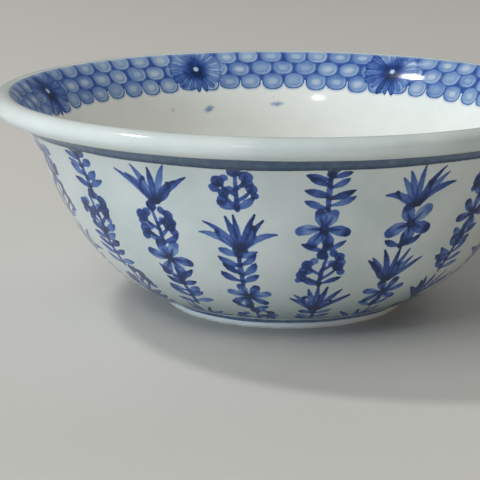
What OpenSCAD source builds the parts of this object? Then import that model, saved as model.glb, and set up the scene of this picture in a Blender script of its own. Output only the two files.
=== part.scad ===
// Porcelain serving bowl with a rolled lip, a low foot ring and cobalt painting.
// One thrown body, modelled as the clay, the coats of glaze on it and the cobalt that
// has sunk into the glaze. Every layer is turned from one master outline, so the
// layers meet face to face. Z is the bowl's axis and the foot ring stands on Z = 0.

/* [Bowl] */
// Diameter over the rolled lip
rim_d = 240; // [180:1:320]
// Height from the foot's standing edge to the crest of the lip
bowl_h = 88.7; // [70:0.1:130]

/* [Foot ring] */
// Diameter of the glazed foot ring
foot_d = 101; // [70:0.5:140]
// Height of the foot ring outside, up to the turn of the wall
foot_h = 4.2; // [3:0.1:8]
// Width of the foot ring from its outer face to its inner face
foot_w = 7; // [5:0.1:12]
// Depth of the well that the foot ring stands round
well_h = 5.4; // [4.6:0.1:10]
// Height of the foot's bare clay below the edge of the glaze
bare_h = 1.2; // [0.8:0.1:1.8]
// Chamfer on the two edges of the foot that the bowl stands on
foot_chamfer = 0.6; // [0.2:0.1:1]

/* [Wall] */
// Thickness of the wall under the lip, with its glaze
wall_t = 4.9; // [3.5:0.1:7]
// Thickness of the wall where it meets the foot, with its glaze
base_t = 6; // [5:0.1:9]
// How far the wall flares out as it comes up to the lip
flare = 10.6; // [3:0.1:14]
// How sharply the flare turns: a higher power keeps it nearer the lip
flare_power = 8; // [6:1:16]
// How early the belly rises steeply: a higher power rises sooner
belly_power = 1.89; // [1.3:0.01:2.2]
// How round the belly leaves the foot: a lower value is rounder
belly_root = 0.67; // [0.5:0.01:0.8]

/* [Lip] */
// Width of the rolled lip, measured out from the axis
lip_w = 10; // [7:0.1:14]
// Height of the rolled lip
lip_h = 8.2; // [6:0.1:12]

/* [Glaze] */
// Thickness of the fired glaze
glaze_t = 0.3; // [0.2:0.05:0.6]

/* [Painting] */
// Depth to which the cobalt has sunk into the glaze
cobalt_t = 0.12; // [0.05:0.01:0.15]
// Depth of the scale band inside the rim, down from the crest of the lip
band_h = 16; // [12:0.5:22]
// Number of flower medallions in the scale band
flowers = 7; // [4:1:12]
// Width of one flower medallion, as an angle seen from the axis
flower_angle = 14; // [6:0.5:24]
// Bearing of the first flower from +Y, turning towards +X
flower_start = 27.6; // [0:0.1:60]
// Number of upright leaf sprays round the outside
sprays = 19; // [8:1:30]
// Width of one spray, as an angle seen from the axis
spray_angle = 8.4; // [3:0.1:10]
// Bearing of the first spray from -Y, turning towards +X
spray_start = 9; // [0:0.1:20]
// Distance from the foot's edge out to the lower end of a spray
spray_gap = 4; // [2:0.5:15]
// Height of the painted line under the lip
lip_line_h = 5.9; // [0.8:0.1:8]
// Height of the painted line round the top of the foot ring
foot_line_h = 1.6; // [0.8:0.1:1.7]

/* [Hidden] */
$fn = 120;

clay_white = "#E9E7E0";
glaze_white = "#DCE2DC";
cobalt_wash = "#6F86B8";
cobalt_blue = "#3E5A9E";
cobalt_line = "#4A5D74";

// The lip is an ellipse in section. Angles run anticlockwise from its outermost point.
lip_r = rim_d / 2 - lip_w / 2;
lip_z = bowl_h - lip_h / 2;
neck_angle = 237;   // where the outer wall meets the lip's underside
crest_angle = 472;  // where the lip's plain glaze ends and the painted band begins
inner_angle = 503;  // where the inner wall runs smoothly off the lip
function lip_point(a) = [lip_r + lip_w / 2 * cos(a), lip_z + lip_h / 2 * sin(a)];

// The outer wall, from the foot (s = 0) to the lip (s = 1): a belly and a flare.
foot_r = foot_d / 2;
neck = lip_point(neck_angle);
rise = neck.x - flare - foot_r;
wall_h = neck.y - foot_h;
function wall_point(s) = [
    foot_r + rise * pow(1 - pow(1 - s, belly_power), belly_root) + flare * pow(s, flare_power),
    foot_h + wall_h * s];
// The share of the wall's height at which the belly has come out by a distance
function out_by(d) = 1 - pow(1 - pow(d / rise, 1 / belly_root), 1 / belly_power);
function steps(from, to, count, power) =
    [for (i = [0 : 1 : count - 1]) from + (to - from) * pow(i / count, power)];

// Heights on the wall where the paint starts and stops
s_spray = out_by(spray_gap);
s_band = (bowl_h - band_h - foot_h) / wall_h;
s_lip_line = 1 - lip_line_h / wall_h;
// The band inside and the line outside may end at either height first
s_low = min(s_band, s_lip_line);
s_high = max(s_band, s_lip_line);
foot_steps = 3;
spray_steps = 16;
flare_step = 1.2;  // height of one step on the flare, where the wall turns fastest
function flare_steps(from, to) = ceil((to - from) * wall_h / flare_step);
mid_steps = flare_steps(s_low, s_high);
top_steps = flare_steps(s_high, 1);
stations = concat(steps(0, s_spray, foot_steps, 1.5),
                  steps(s_spray, s_low, spray_steps, 1.5),
                  steps(s_low, s_high, mid_steps, 1),
                  steps(s_high, 1, top_steps, 1), [1]);
i_spray = foot_steps;
i_low = i_spray + spray_steps;
i_high = i_low + mid_steps;
i_band = s_band == s_low ? i_low : i_high;
i_lip_line = s_lip_line == s_low ? i_low : i_high;
i_neck = i_high + top_steps;

// Left-hand offset of an outline, into the material
function along(path, i) = path[min(i + 1, len(path) - 1)] - path[max(i - 1, 0)];
function left(v) = [-v.y, v.x] / norm(v);
function shift(path, d) = [for (i = [0 : len(path) - 1]) path[i] + d * left(along(path, i))];

outer_wall = [for (s = stations) wall_point(s)];
function wall_thickness(s) = wall_t + (base_t - wall_t) * pow(1 - s, 3);
inner_wall = [for (i = [0 : i_neck])
    outer_wall[i] + wall_thickness(stations[i]) * left(along(outer_wall, i))];

// The master outline: up the outer wall, round the lip, down inside to the axis
lip_low = concat([for (i = [1 : 8]) lip_point(neck_angle + (360 - neck_angle) * i / 8)],
                 [for (i = [1 : 6]) lip_point(360 + 15 * i)], [lip_point(crest_angle)]);
lip_in = [for (i = [1 : 3]) lip_point(crest_angle + (inner_angle - crest_angle) * i / 3)];
outline = concat(outer_wall, lip_low, lip_in,
                 [for (i = [0 : i_neck]) inner_wall[i_neck - i]],
                 [[0, inner_wall[0].y]]);
i_crest = i_neck + len(lip_low);
i_shoulder = i_crest + len(lip_in) + 1;
i_band_edge = i_shoulder + i_neck - i_band;
i_end = len(outline) - 1;

// A stretch of an outline, forwards or backwards
function stretch(path, a, b) = [for (i = [a : b]) path[i]];
function stretch_back(path, a, b) = [for (i = [b : -1 : a]) path[i]];

// The outline sunk by a depth, ending on the axis
function sunk_by(d) = concat(stretch(shift(outline, d), 0, i_end - 1),
                             [[0, outline[i_end].y - d]]);
clay = sunk_by(glaze_t);
sunk = sunk_by(cobalt_t);

// A skin between two outlines, turned right round
module layer(top, bottom, a, b) {
    rotate_extrude() polygon(concat(stretch(top, a, b), stretch_back(bottom, a, b)));
}

// Foot ring: the clay stands inside the glaze, and its lower edges are bare
clay_foot_r = foot_r - glaze_t;
foot_in_r = foot_r - foot_w;
well_roof = well_h + glaze_t;
foot_top = clay[0].y;

// Clay: the thrown wall and floor
module body_wall() {
    color(clay_white) rotate_extrude() polygon(concat(
        stretch(clay, 0, i_neck), stretch(clay, i_shoulder, i_end),
        [[0, well_roof], [foot_in_r, well_roof], [clay_foot_r, foot_top]]));
}

// Clay: the rolled lip that stiffens the rim
module rolled_lip() {
    color(clay_white) rotate_extrude() polygon(stretch(clay, i_neck, i_shoulder));
}

// Clay: the turned foot ring, bare where it stands
module foot_ring() {
    color(clay_white) rotate_extrude() polygon([
        [foot_in_r + foot_chamfer, 0], [clay_foot_r - foot_chamfer, 0],
        [clay_foot_r, foot_chamfer], [clay_foot_r, foot_top],
        [foot_in_r, well_roof], [foot_in_r, foot_chamfer]]);
}

// A stretch of skin between two outlines, turned through part of a circle
module patches(top, bottom, a, b, count, start, width) {
    for (k = [0 : count - 1])
        rotate([0, 0, start + k * 360 / count])
            rotate_extrude(angle = width)
                polygon(concat(stretch(top, a, b), stretch_back(bottom, a, b)));
}

// Glaze outside, down to the depth that the cobalt has sunk to
module outer_glaze() {
    color(glaze_white) rotate_extrude() polygon(concat(stretch(outline, 0, i_spray),
        stretch(sunk, i_spray, i_neck), stretch_back(clay, 0, i_neck)));
}

// Glaze outside, the plain skin between the sprays
spray_from = spray_start - 90 - spray_angle / 2;
module plain_panels() {
    color(glaze_white)
        patches(outline, sunk, i_spray, i_lip_line, sprays, spray_from + spray_angle,
                360 / sprays - spray_angle);
}

// Glaze on the lip, from its underside over to the crest
module lip_glaze() {
    color(glaze_white) layer(outline, clay, i_neck, i_crest);
}

// Glaze inside, with the scale band sunk into its upper edge
module inner_glaze() {
    color(glaze_white) rotate_extrude() polygon(concat(
        stretch(sunk, i_crest, i_band_edge), stretch(outline, i_band_edge, i_end),
        stretch_back(clay, i_crest, i_end)));
}

// Glaze on the outer face of the foot ring, with the foot's line sunk into it
foot_sunk_r = foot_r - cobalt_t;
foot_line_z = foot_h - foot_line_h;
module foot_glaze() {
    color(glaze_white) rotate_extrude() polygon([
        [clay_foot_r, bare_h], [foot_r, bare_h], [foot_r, foot_line_z],
        [foot_sunk_r, foot_line_z], [foot_sunk_r, foot_h], outline[0], clay[0],
        [clay_foot_r, foot_top]]);
}

// Glaze in the well: the foot's inner face and the underside of the floor
module well_glaze() {
    color(glaze_white) rotate_extrude() polygon([
        [0, well_h], [foot_in_r - glaze_t, well_h], [foot_in_r - glaze_t, bare_h],
        [foot_in_r, bare_h], [foot_in_r, well_roof], [0, well_roof]]);
}

// Cobalt: the band of overlapping scales inside the rim, between the flowers
flower_from = 90 - flower_start - flower_angle / 2;
module scale_band() {
    color(cobalt_wash)
        patches(outline, sunk, i_crest, i_band_edge, flowers, flower_from + flower_angle,
                360 / flowers - flower_angle);
}

// Cobalt: the flowers set into the band
module flower_medallions() {
    color(cobalt_blue)
        patches(outline, sunk, i_crest, i_band_edge, flowers, flower_from, flower_angle);
}

// Cobalt: the upright sprays of leaves and buds round the outside
module leaf_sprays() {
    color(cobalt_blue)
        patches(outline, sunk, i_spray, i_lip_line, sprays, spray_from, spray_angle);
}

// Cobalt: the line under the lip
module lip_line() {
    color(cobalt_line) layer(outline, sunk, i_lip_line, i_neck);
}

// Cobalt: the line round the top of the foot ring
module foot_line() {
    color(cobalt_line) rotate_extrude() polygon([
        [foot_sunk_r, foot_line_z], [foot_r, foot_line_z], [foot_r, foot_h],
        [foot_sunk_r, foot_h]]);
}

body_wall();
rolled_lip();
foot_ring();
outer_glaze();
plain_panels();
lip_glaze();
inner_glaze();
foot_glaze();
well_glaze();
scale_band();
flower_medallions();
leaf_sprays();
lip_line();
foot_line();
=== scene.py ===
import math
import random

import bmesh
import bpy
import numpy as np
from mathutils import Matrix, Vector


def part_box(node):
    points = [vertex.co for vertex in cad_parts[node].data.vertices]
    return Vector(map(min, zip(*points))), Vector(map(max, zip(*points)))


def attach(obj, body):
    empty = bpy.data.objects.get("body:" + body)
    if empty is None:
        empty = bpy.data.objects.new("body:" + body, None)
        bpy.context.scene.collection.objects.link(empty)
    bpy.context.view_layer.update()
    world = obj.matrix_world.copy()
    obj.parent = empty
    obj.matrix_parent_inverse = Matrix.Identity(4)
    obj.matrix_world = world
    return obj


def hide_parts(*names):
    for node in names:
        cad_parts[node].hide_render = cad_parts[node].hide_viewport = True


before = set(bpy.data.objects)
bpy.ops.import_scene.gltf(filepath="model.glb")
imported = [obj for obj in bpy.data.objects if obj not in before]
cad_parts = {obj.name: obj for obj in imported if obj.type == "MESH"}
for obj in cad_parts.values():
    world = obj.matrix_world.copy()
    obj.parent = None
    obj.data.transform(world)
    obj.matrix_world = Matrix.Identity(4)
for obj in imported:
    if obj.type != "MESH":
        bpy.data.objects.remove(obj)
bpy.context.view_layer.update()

bl_info = {
    "name": "Porcelain Serving Bowl",
    "version": (1, 0, 0),
    "blender": (4, 5, 0),
    "location": "3D View > Sidebar > Bowl",
    "description": "Turns, paints and glazes a blue and white porcelain serving bowl",
    "category": "Add Mesh",
}

MM = 0.001
BODY = "root"


def linear(code):
    """An sRGB hex colour as linear red, green and blue."""
    parts = [int(code[i : i + 2], 16) / 255 for i in (1, 3, 5)]
    return tuple(c / 12.92 if c <= 0.04045 else ((c + 0.055) / 1.055) ** 2.4 for c in parts)


# ---------------------------------------------------------------- sizes and colours

LIP_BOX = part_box("lip_glaze")
FOOT_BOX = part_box("foot_glaze")


def measure(name, description, default):
    """A property that holds a length in metres."""
    return bpy.props.FloatProperty(name=name, description=description, default=default,
                                   unit="LENGTH", subtype="DISTANCE")


def tint(name, description, code):
    """A property that holds a colour, given as an sRGB hex code."""
    return bpy.props.FloatVectorProperty(name=name, description=description,
                                         default=linear(code), subtype="COLOR", size=3,
                                         min=0, max=1)


class BowlSize(bpy.types.PropertyGroup):
    """Sizes of the thrown bowl, the same as the part's own."""

    rim: measure("Rim", "Diameter over the rolled lip", 2 * LIP_BOX[1].x)
    height: measure("Height", "From the foot's standing edge to the crest of the lip",
                    LIP_BOX[1].z)
    foot: measure("Foot", "Diameter of the glazed foot ring", 2 * FOOT_BOX[1].x)
    foot_height: measure("Foot height", "Height of the foot ring outside", 0.0042)
    foot_width: measure("Foot width", "Width of the foot ring from outer to inner face",
                        0.007)
    well: measure("Well", "Depth of the well that the foot ring stands round", 0.0054)
    bare: measure("Bare clay", "Height of the foot's bare clay below the glaze", 0.0012)
    wall: measure("Wall", "Thickness of the wall under the lip", 0.0049)
    base: measure("Base", "Thickness of the wall at the foot", 0.006)
    flare: measure("Flare", "How far the wall flares out under the lip", 0.0106)
    flare_power: bpy.props.FloatProperty(
        name="Flare turn", description="How sharply the flare turns", default=8.0)
    belly_power: bpy.props.FloatProperty(
        name="Belly rise", description="How early the belly rises steeply", default=1.89)
    belly_root: bpy.props.FloatProperty(
        name="Belly roundness", description="How round the belly leaves the foot", default=0.67)
    lip_width: measure("Lip width", "Width of the rolled lip", 0.010)
    lip_height: measure("Lip height", "Height of the rolled lip", 0.0082)
    glaze: measure("Glaze", "Thickness of the fired glaze", 0.0003)


class BowlPainting(bpy.types.PropertyGroup):
    """Counts, places and colours of the cobalt painting."""

    sprays: bpy.props.IntProperty(
        name="Sprays", description="Number of leaf sprays round the outside", default=19, min=8)
    spray_bearing: bpy.props.FloatProperty(
        name="First spray", description="Bearing of the first spray from the front",
        default=math.radians(9), unit="ROTATION", subtype="ANGLE")
    flowers: bpy.props.IntProperty(
        name="Flowers", description="Number of flowers in the band of scales", default=7, min=4)
    flower_bearing: bpy.props.FloatProperty(
        name="First flower", description="Bearing of the first flower from the back",
        default=math.radians(27.6), unit="ROTATION", subtype="ANGLE")
    flower_width: bpy.props.FloatProperty(
        name="Flower width", description="Width of one flower, seen from the axis",
        default=math.radians(14), unit="ROTATION", subtype="ANGLE")
    glaze_colour: tint("Glaze", "Colour of the clear glaze over white clay", "#DFE5E0")
    glaze_pool_colour: tint("Pooled glaze", "Greener colour where the glaze lies thicker",
                            "#CDD7D2")
    # The inside colour is the same glaze as outside, painted lighter: painted light where the
    # inside, the band, the well and the foot are lit
    inside_lit_colour: tint("Inside glaze", "Colour of the whiter glaze inside the bowl",
                        "#F6F8F2")
    clay_colour: tint("Clay", "Colour of the bare fired clay", "#E6E1D6")


class BowlStage(bpy.types.PropertyGroup):
    """The floor, the lights and the camera."""

    floor_colour: tint("Floor", "Colour of the plain floor", "#D2D0CA")
    sky_colour: tint("Room light", "Colour of the even light of the room", "#FFFFFF")
    sky_strength: bpy.props.FloatProperty(
        name="Room strength", description="Strength of the even light", default=0.13)
    lens: bpy.props.FloatProperty(
        name="Lens", description="Focal length of the camera", default=121.33,
        unit="CAMERA")


# ---------------------------------------------------------------- the bowl's section

NECK_ANGLE = 237  # where the outer wall meets the lip's underside
CREST_ANGLE = 472  # where the lip's plain glaze ends and the painted band begins
INNER_ANGLE = 503  # where the inner wall runs off the lip
LINE_RING = 8.6  # mm of wall under the lip that the line's own ring takes up
BAND_SKIN = 25.0  # mm of skin, down from the crest, that carries the painted band
END_STEP = 0.05  # mm: a last short step keeps the shine even across a joint
MOST_TRIANGLES = 200000  # that one piece may have
WELD = 2e-6  # m: closer points than this are one
WEDGES = 20  # wedges that make up a whole turn
FLAT_R = 48  # mm: the radius within which the floor inside is level
CREASE = math.radians(35)  # a sharper edge than this isn't shaded smooth


def lengths(path):
    """Distance travelled along a path at each of its points."""
    return np.concatenate([[0], np.cumsum(np.hypot(*np.diff(path, axis=0).T))])


def even(path, step, ends=True):
    """The same path with evenly spaced points, and a short step at each end."""
    run = lengths(path)
    count = max(2, round(run[-1] / step))
    stops = np.linspace(0, run[-1], count + 1)
    if ends:
        stops = np.concatenate([[0, END_STEP], stops[1:-1], [run[-1] - END_STEP, run[-1]]])
    return np.stack([np.interp(stops, run, path[:, k]) for k in (0, 1)], 1)


def cut(path, start, end):
    """The stretch of a path between two distances along it."""
    run = lengths(path)
    inside = path[(run > start + 1e-6) & (run < end - 1e-6)]
    edge = [[np.interp(d, run, path[:, k]) for k in (0, 1)] for d in (start, end)]
    return np.concatenate([[edge[0]], inside, [edge[1]]])


def leftward(path):
    """The unit direction to the left of a path at each point: into the clay."""
    way = np.gradient(path, axis=0)
    way /= np.hypot(*way.T)[:, None]
    return np.stack([-way[:, 1], way[:, 0]], 1)


class BowlSection:
    """The bowl's outline in mm, as radius and height: outside, over the lip and inside."""

    def __init__(self, size):
        self.size = {name: getattr(size, name) / MM for name in (
            "rim", "height", "foot", "foot_height", "foot_width", "well", "bare", "wall",
            "base", "flare", "lip_width", "lip_height", "glaze")}
        s = self.size
        self.lip_r = s["rim"] / 2 - s["lip_width"] / 2
        self.lip_z = s["height"] - s["lip_height"] / 2
        self.foot_r = s["foot"] / 2
        neck = self.lip(np.array([NECK_ANGLE]))[0]
        rise = neck[0] - s["flare"] - self.foot_r
        tall = neck[1] - s["foot_height"]
        share = np.linspace(0, 1, 1600) ** 1.6
        belly = (1 - (1 - share) ** size.belly_power) ** size.belly_root
        out = self.foot_r + rise * belly + s["flare"] * share**size.flare_power
        raw = np.stack([out, s["foot_height"] + tall * share], 1)
        self.outside = cut(raw, 0, lengths(raw)[-1])
        thick = s["wall"] + (s["base"] - s["wall"]) * (1 - share) ** 3
        inner = raw + thick[:, None] * leftward(raw)
        over = self.lip(np.linspace(CREST_ANGLE, INNER_ANGLE, 24))
        inside = np.concatenate([over, inner[::-1], [[0, inner[0, 1]]]])
        inside = even(inside[np.concatenate([[True], lengths(inside)[1:] > 0])], 0.4, ends=False)
        for _ in range(8):
            inside[1:-1] = inside[:-2] / 4 + inside[1:-1] / 2 + inside[2:] / 4
        inside[:, 1] = np.where(inside[:, 0] < FLAT_R, inner[0, 1], inside[:, 1])
        self.inside = inside

    def lip(self, angles):
        """Points on the rolled lip, by the angle round its section."""
        a = np.radians(angles)
        half = self.size["lip_width"] / 2, self.size["lip_height"] / 2
        return np.stack([self.lip_r + half[0] * np.cos(a), self.lip_z + half[1] * np.sin(a)], 1)


# ---------------------------------------------------------------- turning a skin


def turned(name, front, back, along, start=0.0, turn=2 * math.pi, columns=360):
    """A closed skin turned from a section. front and back are paths in mm that start at
    the same end; along is the distance in mm at which the front starts. The mesh keeps
    each point's distance along the section and whether it is on the back."""
    whole = turn > 2 * math.pi - 1e-6
    to_axis = min(front[0, 0], front[-1, 0]) < 1e-6
    run = along + lengths(front)
    back_run = along + lengths(back) * (run[-1] - along) / lengths(back)[-1]
    points = [(p, d, 0.0) for p, d in zip(front, run)]
    points += [(p, d, 1.0) for p, d in zip(back[::-1], back_run[::-1])]
    bm = bmesh.new()
    along_layer = bm.verts.layers.float.new("along")
    side_layer = bm.verts.layers.float.new("side")
    section = []
    for (radius, height), distance, side in points:
        vert = bm.verts.new((radius * MM, 0, height * MM))
        vert[along_layer], vert[side_layer] = distance, side
        section.append(vert)
    count = len(section)
    # A section that touches the axis is left open there: the pole closes it
    pole = len(front) - 1 if to_axis else None
    edges = [bm.edges.new((section[i], section[(i + 1) % count]))
             for i in range(count) if i != pole]
    bmesh.ops.rotate(bm, verts=section, cent=(0, 0, 0), matrix=Matrix.Rotation(start, 3, "Z"))
    about = {"cent": (0, 0, 0), "axis": (0, 0, 1), "dvec": (0, 0, 0)}
    # A whole turn is one wedge, spun finely and then repeated: that is much quicker
    wedges = WEDGES if whole else 1
    bmesh.ops.spin(bm, geom=section + edges, angle=turn / wedges, steps=columns // wedges,
                   use_merge=False, use_normal_flip=False, use_duplicate=False, **about)
    if whole:
        bmesh.ops.spin(bm, geom=bm.verts[:] + bm.edges[:] + bm.faces[:],
                       angle=turn - turn / wedges, steps=wedges - 1, use_merge=False,
                       use_normal_flip=False, use_duplicate=True, **about)
        bmesh.ops.remove_doubles(bm, verts=bm.verts[:], dist=WELD)
    elif columns > 0:
        ends = [e for e in bm.edges if e.is_boundary]
        bmesh.ops.holes_fill(bm, edges=ends, sides=0)
    bmesh.ops.recalc_face_normals(bm, faces=bm.faces[:])
    for edge in bm.edges:
        edge.smooth = len(edge.link_faces) == 2 and edge.calc_face_angle(0) < CREASE
    for face in bm.faces:
        face.smooth = True
    mesh = bpy.data.meshes.new(name)
    bm.to_mesh(mesh)
    bm.free()
    if sum(len(p.vertices) - 2 for p in mesh.polygons) > MOST_TRIANGLES:
        raise RuntimeError(f"{name} has too many triangles")
    return mesh


def turned_round(mesh, name, angle):
    """A copy of a turned skin, at another place round the axis."""
    copy = mesh.copy()
    copy.name = name
    copy.transform(Matrix.Rotation(angle, 4, "Z"))
    return copy


def numbers(mesh, name):
    """A float attribute of the mesh's points, as an array."""
    out = np.empty(len(mesh.vertices), np.float32)
    mesh.attributes[name].data.foreach_get("value", out)
    return out


def places(mesh):
    """Each point's position in mm, and its angle about the axis."""
    co = np.empty(3 * len(mesh.vertices), np.float32)
    mesh.vertices.foreach_get("co", co)
    co = co.reshape(-1, 3).astype(float) / MM
    return co, np.arctan2(co[:, 1], co[:, 0])


def wrapped(angle):
    """An angle brought to within half a turn of zero."""
    return (angle + math.pi) % (2 * math.pi) - math.pi


def corners(mesh):
    """Each corner's vertex, each face's first corner and size, and each corner's face."""
    corner = np.empty(len(mesh.loops), np.int32)
    mesh.loops.foreach_get("vertex_index", corner)
    first = np.empty(len(mesh.polygons), np.int32)
    mesh.polygons.foreach_get("loop_start", first)
    size = np.empty(len(mesh.polygons), np.int32)
    mesh.polygons.foreach_get("loop_total", size)
    return corner, first, size, np.repeat(np.arange(len(first)), size)


def unrolled_map(mesh, start, turn, folds=1):
    """A texture map that lays the skin out flat: the front in folds strips, and the back
    and the ends in a thin margin."""
    along, side = numbers(mesh, "along"), numbers(mesh, "side")
    angle = (places(mesh)[1] - start + 1e-5) % (2 * math.pi) / turn
    corner, first, size, face = corners(mesh)
    u = angle[corner]
    # A face across the start of the turn is kept in one piece
    high = np.maximum.reduceat(u, first)[face]
    u = np.where((high - u > 0.5) & (turn > 6.28), u + 1, u)
    share = (along - along.min()) / np.ptp(along)
    v = share[corner]
    fold = np.floor(np.minimum.reduceat(u, first)[face] * folds + 0.5 / 4096)
    fold = np.clip(fold, 0, folds - 1)
    strip_u, strip_v = u * folds - fold, (fold + 0.02 + 0.96 * v) / folds
    end = (size > 4)[face]
    backs = np.minimum.reduceat(side[corner], first)[face] > 0.5
    wide = np.where(u > 0.5, 0.006, 0.0)
    out_u = np.where(end, v, np.where(backs, u, strip_u)).clip(0, 1)
    out_v = np.where(end, 0.985 + 0.004 * side[corner] + wide,
                     np.where(backs, 0.955 + 0.02 * v, 0.95 * strip_v)).clip(0, 1)
    layer = mesh.uv_layers.new(name="OFBake")
    layer.uv.foreach_set("vector", np.stack([out_u, out_v], 1).astype(np.float32).ravel())


def flat_map(mesh):
    """A texture map seen along the axis, with the hidden back shrunk into a corner."""
    co, _ = places(mesh)
    side = numbers(mesh, "side")
    reach = np.hypot(co[:, 0], co[:, 1]).max()
    corner, first, _, face = corners(mesh)
    backs = (np.maximum.reduceat(side[corner], first)[face] > 0.5)[:, None]
    flat = co[corner, :2] / reach
    uv = np.where(backs, 0.06 + 0.05 * flat, 0.5 + 0.49 * flat)
    layer = mesh.uv_layers.new(name="OFBake")
    layer.uv.foreach_set("vector", uv.astype(np.float32).ravel())


def paint(mesh, stroke, tone):
    """Stores the painting on the mesh: mm inside a brush stroke's edge, and its depth."""
    for name, values in (("stroke", stroke), ("tone", tone)):
        layer = mesh.attributes.new(name, "FLOAT", "POINT")
        layer.data.foreach_set("value", values.astype(np.float32))


def placed(name, mesh, material, slot, *nodes):
    """A finished piece in the scene, riding on the bowl."""
    for spare in ("along", "side"):
        mesh.attributes.remove(mesh.attributes[spare])
    mesh.materials.append(material)
    piece = bpy.data.objects.new(name, mesh)
    bpy.context.scene.collection.objects.link(piece)
    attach(piece, BODY)
    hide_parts(*nodes)
    return piece


# ---------------------------------------------------------------- brushwork

BRUSH_LOAD = 1.22  # how full the brush is: every stroke widens with it


class Brushwork:
    """Strokes of a cobalt brush on a flat sheet: x across and y down, in mm."""

    def __init__(self):
        self.strokes = []

    def stroke(self, points, widths, tones):
        """One stroke through the points, with its width and depth at each."""
        count = len(points)
        widths = np.interp(np.linspace(0, 1, count), np.linspace(0, 1, len(widths)), widths)
        tones = np.interp(np.linspace(0, 1, count), np.linspace(0, 1, len(tones)), tones)
        self.strokes.append((np.array(points, float), BRUSH_LOAD * widths / 2, tones))

    def curve(self, start, angle, length, bend, widths, tones, count=7):
        """A stroke that starts at a point in a direction and bends as it goes.
        Angles are in degrees, from straight up towards +x."""
        points, heading = [np.array(start, float)], math.radians(angle)
        for _ in range(count - 1):
            points.append(points[-1] + length / (count - 1)
                          * np.array([math.sin(heading), -math.cos(heading)]))
            heading += math.radians(bend) / (count - 1)
        self.stroke(points, widths, tones)
        return points[-1], math.degrees(heading)

    def dab(self, place, radius, tone):
        """A round touch of the loaded brush."""
        place = np.array(place, float)
        self.stroke([place - [0.1, 0.1], place + [0.1, 0.1]], [2 * radius, 2 * radius],
                    [tone, tone])

    def laid(self, x, y):
        """How deep each place is inside a stroke, in mm, and the cobalt's depth there."""
        order = np.argsort(y, kind="stable")
        xs, ys = x[order], y[order]
        depth = np.full(len(x), -3.0)
        clear = np.ones(len(x))
        for points, radii, tones in self.strokes:
            reach = radii.max() + 1.6
            low, high = np.searchsorted(ys, [points[:, 1].min() - reach,
                                             points[:, 1].max() + reach])
            if high <= low:
                continue
            px, py = xs[low:high], ys[low:high]
            near = (px > points[:, 0].min() - reach) & (px < points[:, 0].max() + reach)
            if not near.any():
                continue
            where = np.nonzero(near)[0]
            px, py = px[where], py[where]
            best = np.full(len(px), -3.0)
            shade = np.zeros(len(px))
            for i in range(len(points) - 1):
                a, b = points[i], points[i + 1]
                ab = b - a
                t = ((px - a[0]) * ab[0] + (py - a[1]) * ab[1]) / max(ab @ ab, 1e-9)
                t = t.clip(0, 1)
                away = np.hypot(px - a[0] - t * ab[0], py - a[1] - t * ab[1])
                inside = radii[i] + (radii[i + 1] - radii[i]) * t - away
                closer = inside > best
                best = np.where(closer, inside, best)
                shade = np.where(closer, tones[i] + (tones[i + 1] - tones[i]) * t, shade)
            where = where + low
            depth[where] = np.maximum(depth[where], best)
            cover = ((best + 0.35) / 0.7).clip(0, 1)
            clear[where] *= 1 - 0.92 * shade * cover
        out = np.empty_like(depth)
        tone = np.empty_like(depth)
        out[order] = depth
        tone[order] = 1 - clear
        return out, tone


def leaf(work, rng, root, angle, length, width, bend, tone):
    """A leaf in one pressed stroke: thin, full, and drawn out, with a loaded tip."""
    tone *= rng.uniform(0.82, 1.15)
    full = rng.uniform(0.35, 0.65)
    work.curve(root, angle, length, bend,
               [0.9, width * (1.2 - full), width, width * (0.45 + full), 0.8],
               [tone * 1.15, tone * 0.9, tone * 0.84, tone, tone * 1.35])


def tendril(work, rng, root, side, reach):
    """A thin curling stroke that ends in a dot."""
    end, _ = work.curve(root, side * rng.uniform(60, 100), reach, -side * rng.uniform(70, 150),
                        [1.3, 0.8, 1.0], [0.85, 0.6, 0.9], count=9)
    work.dab(end, rng.uniform(0.7, 1.0), 0.9)


def leafy_sprig(work, rng, x, top, tall, wide):
    """Broad leaves to either side of a short stem, with a bud above."""
    lean = rng.uniform(-16, 16)
    foot = (x + rng.uniform(-1.2, 1.2), top + tall)
    tip, _ = work.curve(foot, -lean / 2, tall * 0.9, lean, [1.6, 2.1, 1.4], [0.9, 0.72, 0.95])
    for k in range(4):
        height = (0.08 + 0.235 * k) * tall
        root = (foot[0] + (tip[0] - foot[0]) * height / tall, foot[1] - height)
        for side in (-1, 1):
            size = wide / 2 * (1.16 - 0.07 * k) * rng.uniform(0.78, 1.04)
            shift = rng.uniform(-0.9, 0.9)
            leaf(work, rng, (root[0], root[1] + shift), side * rng.uniform(58, 84), size,
                 rng.uniform(2.5, 3.2), -side * rng.uniform(-8, 48), rng.uniform(0.7, 0.95))
    for side in (-1, 1):
        leaf(work, rng, tip, side * rng.uniform(15, 50), rng.uniform(3, 4.6), 2.0,
             side * 30, 0.85)
    work.dab(tip, rng.uniform(1.2, 1.6), 0.95)


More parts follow.
